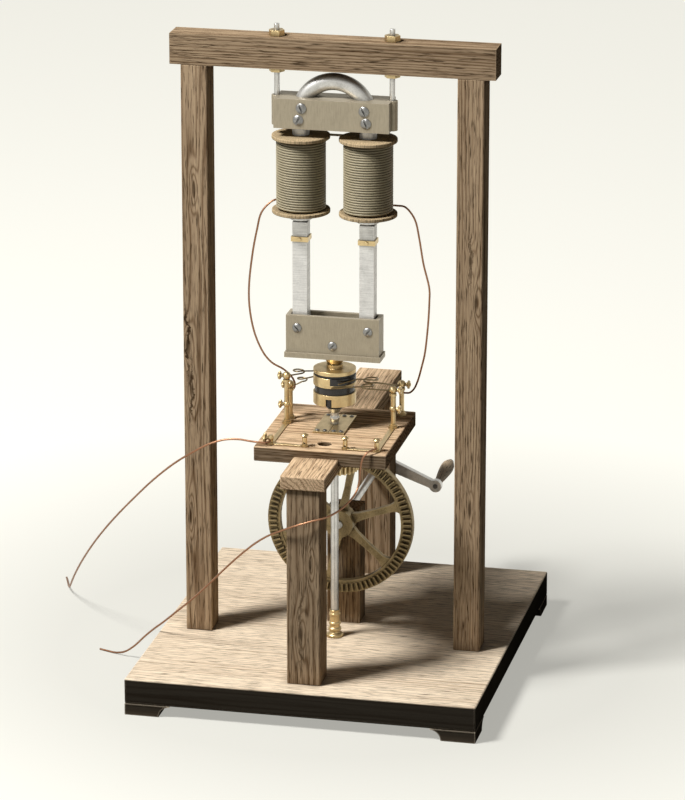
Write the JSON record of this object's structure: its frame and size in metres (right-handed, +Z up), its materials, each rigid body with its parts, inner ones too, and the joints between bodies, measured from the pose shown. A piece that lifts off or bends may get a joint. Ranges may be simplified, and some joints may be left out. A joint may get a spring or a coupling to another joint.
{
  "type": "hand-cranked magneto-electric machine",
  "caption": "Bench generator: a crank and crown wheel spin a horseshoe magnet below a fixed wound electromagnet hung from a wooden gallows, with brushes and terminals on a table.",
  "frame": {"origin": "middle of the box round the machine, without its free wires, on the floor", "axes": "+X to the right seen from the front, +Y to the rear (crank side), +Z up"},
  "size_m": [0.5219, 0.47, 0.674],
  "materials": {
    "base_wood": "dark polished",
    "frame_wood": "oiled",
    "steel": "turned",
    "magnet_steel": "ground",
    "iron": "blackened",
    "brass": "lacquered",
    "wheel_brass": "cast, aged",
    "spring_brass": "drawn",
    "bobbin_wood": "turned",
    "covered_wire": "silk-covered wire",
    "bare_wire": "bare copper",
    "insulator": "polished black insulator",
    "grip_wood": "turned, polished"
  },
  "bodies": {
    "stand": {"base_board": "base_wood", "base_feet": "base_wood", "left_upright": "frame_wood", "right_upright": "frame_wood", "cross_beam": "frame_wood", "bearer_plank": "frame_wood", "front_post": "frame_wood", "rear_post": "frame_wood", "axle_pedestal": "frame_wood", "contact_table": "frame_wood", "suspension_rods": "steel", "electromagnet_core": "iron", "pole_shoes": "iron", "suspension_nuts": "brass", "clamp_plates": "brass", "clamp_end_blocks": "brass", "clamp_screws": "brass", "bearing_plates": "brass", "bearing_plate_screws": "brass", "footstep_bearing": "brass", "axle_bushes": "brass", "brush_posts": "brass", "contact_strips": "brass", "terminal_posts": "brass", "left_brush_springs": "spring_brass", "right_brush_springs": "spring_brass", "left_bobbin": "bobbin_wood", "right_bobbin": "bobbin_wood", "left_winding": "covered_wire", "right_winding": "covered_wire", "coil_wire_left": "bare_wire", "coil_wire_right": "bare_wire", "lead_left": "bare_wire", "lead_right": "bare_wire"},
    "crank": {"axle": "steel", "crown_wheel": "wheel_brass", "crank_arm": "steel", "crank_pin": "steel"},
    "grip": {"crank_grip": "grip_wood"},
    "rotor": {"spindle": "steel", "pinion": "brass", "horseshoe_magnet": "magnet_steel", "magnet_socket": "brass", "socket_screws": "brass", "pole_bands": "brass", "commutator_disc": "brass", "commutator_core": "insulator", "commutator_segments": "brass", "contact_drum": "brass"},
    "terminal_screw_1": {"terminal_screw_1": "brass"},
    "terminal_screw_2": {"terminal_screw_2": "brass"},
    "terminal_screw_3": {"terminal_screw_3": "brass"},
    "terminal_screw_4": {"terminal_screw_4": "brass"},
    "brush_screw_1": {"brush_screw_1": "brass"},
    "brush_screw_2": {"brush_screw_2": "brass"},
    "brush_screw_3": {"brush_screw_3": "brass"},
    "brush_screw_4": {"brush_screw_4": "brass"},
    "brush_screw_5": {"brush_screw_5": "brass"},
    "brush_screw_6": {"brush_screw_6": "brass"}
  },
  "joints": [
    {"name": "crank_turn", "type": "hinge", "parent": "stand", "child": "crank", "pos_m": [0, 0, 0.152], "axis": [0, 1, 0], "continuous": true},
    {"name": "rotor_turn", "type": "hinge", "parent": "stand", "child": "rotor", "pos_m": [0, -0.071, 0.264], "axis": [0, 0, 1], "continuous": true},
    {"name": "grip_spin", "type": "hinge", "parent": "crank", "child": "grip", "pos_m": [0.05841, 0.196, 0.1284], "axis": [0, 1, 0], "continuous": true},
    {"name": "terminal_screw_1_turn", "type": "hinge", "parent": "stand", "child": "terminal_screw_1", "pos_m": [-0.0485, -0.144, 0.2706], "axis": [-1, 0, 0], "range_deg": [0, 360]},
    {"name": "terminal_screw_2_turn", "type": "hinge", "parent": "stand", "child": "terminal_screw_2", "pos_m": [-0.014, -0.144, 0.274], "axis": [0, 0, 1], "range_deg": [0, 360]},
    {"name": "terminal_screw_3_turn", "type": "hinge", "parent": "stand", "child": "terminal_screw_3", "pos_m": [0.027, -0.144, 0.274], "axis": [0, 0, 1], "range_deg": [0, 360]},
    {"name": "terminal_screw_4_turn", "type": "hinge", "parent": "stand", "child": "terminal_screw_4", "pos_m": [0.059, -0.144, 0.274], "axis": [0, 0, 1], "range_deg": [0, 360]},
    {"name": "brush_screw_1_turn", "type": "hinge", "parent": "stand", "child": "brush_screw_1", "pos_m": [-0.0485, -0.075, 0.314], "axis": [-1, 0, 0], "range_deg": [0, 360]},
    {"name": "brush_screw_2_turn", "type": "hinge", "parent": "stand", "child": "brush_screw_2", "pos_m": [-0.0485, -0.059, 0.3], "axis": [-1, 0, 0], "range_deg": [0, 360]},
    {"name": "brush_screw_3_turn", "type": "hinge", "parent": "stand", "child": "brush_screw_3", "pos_m": [0.059, -0.067, 0.304], "axis": [1, 0, 0], "range_deg": [0, 360]},
    {"name": "brush_screw_4_turn", "type": "hinge", "parent": "stand", "child": "brush_screw_4", "pos_m": [0.059, -0.025, 0.297], "axis": [1, 0, 0], "range_deg": [0, 360]},
    {"name": "brush_screw_5_turn", "type": "hinge", "parent": "stand", "child": "brush_screw_5", "pos_m": [-0.0485, -0.075, 0.284], "axis": [-1, 0, 0], "range_deg": [0, 360]},
    {"name": "brush_screw_6_turn", "type": "hinge", "parent": "stand", "child": "brush_screw_6", "pos_m": [0.059, -0.067, 0.284], "axis": [1, 0, 0], "range_deg": [0, 360]}
  ],
  "couplings": [
    {"joint": "rotor_turn", "follows": "crank_turn", "ratio": -3}
  ]
}
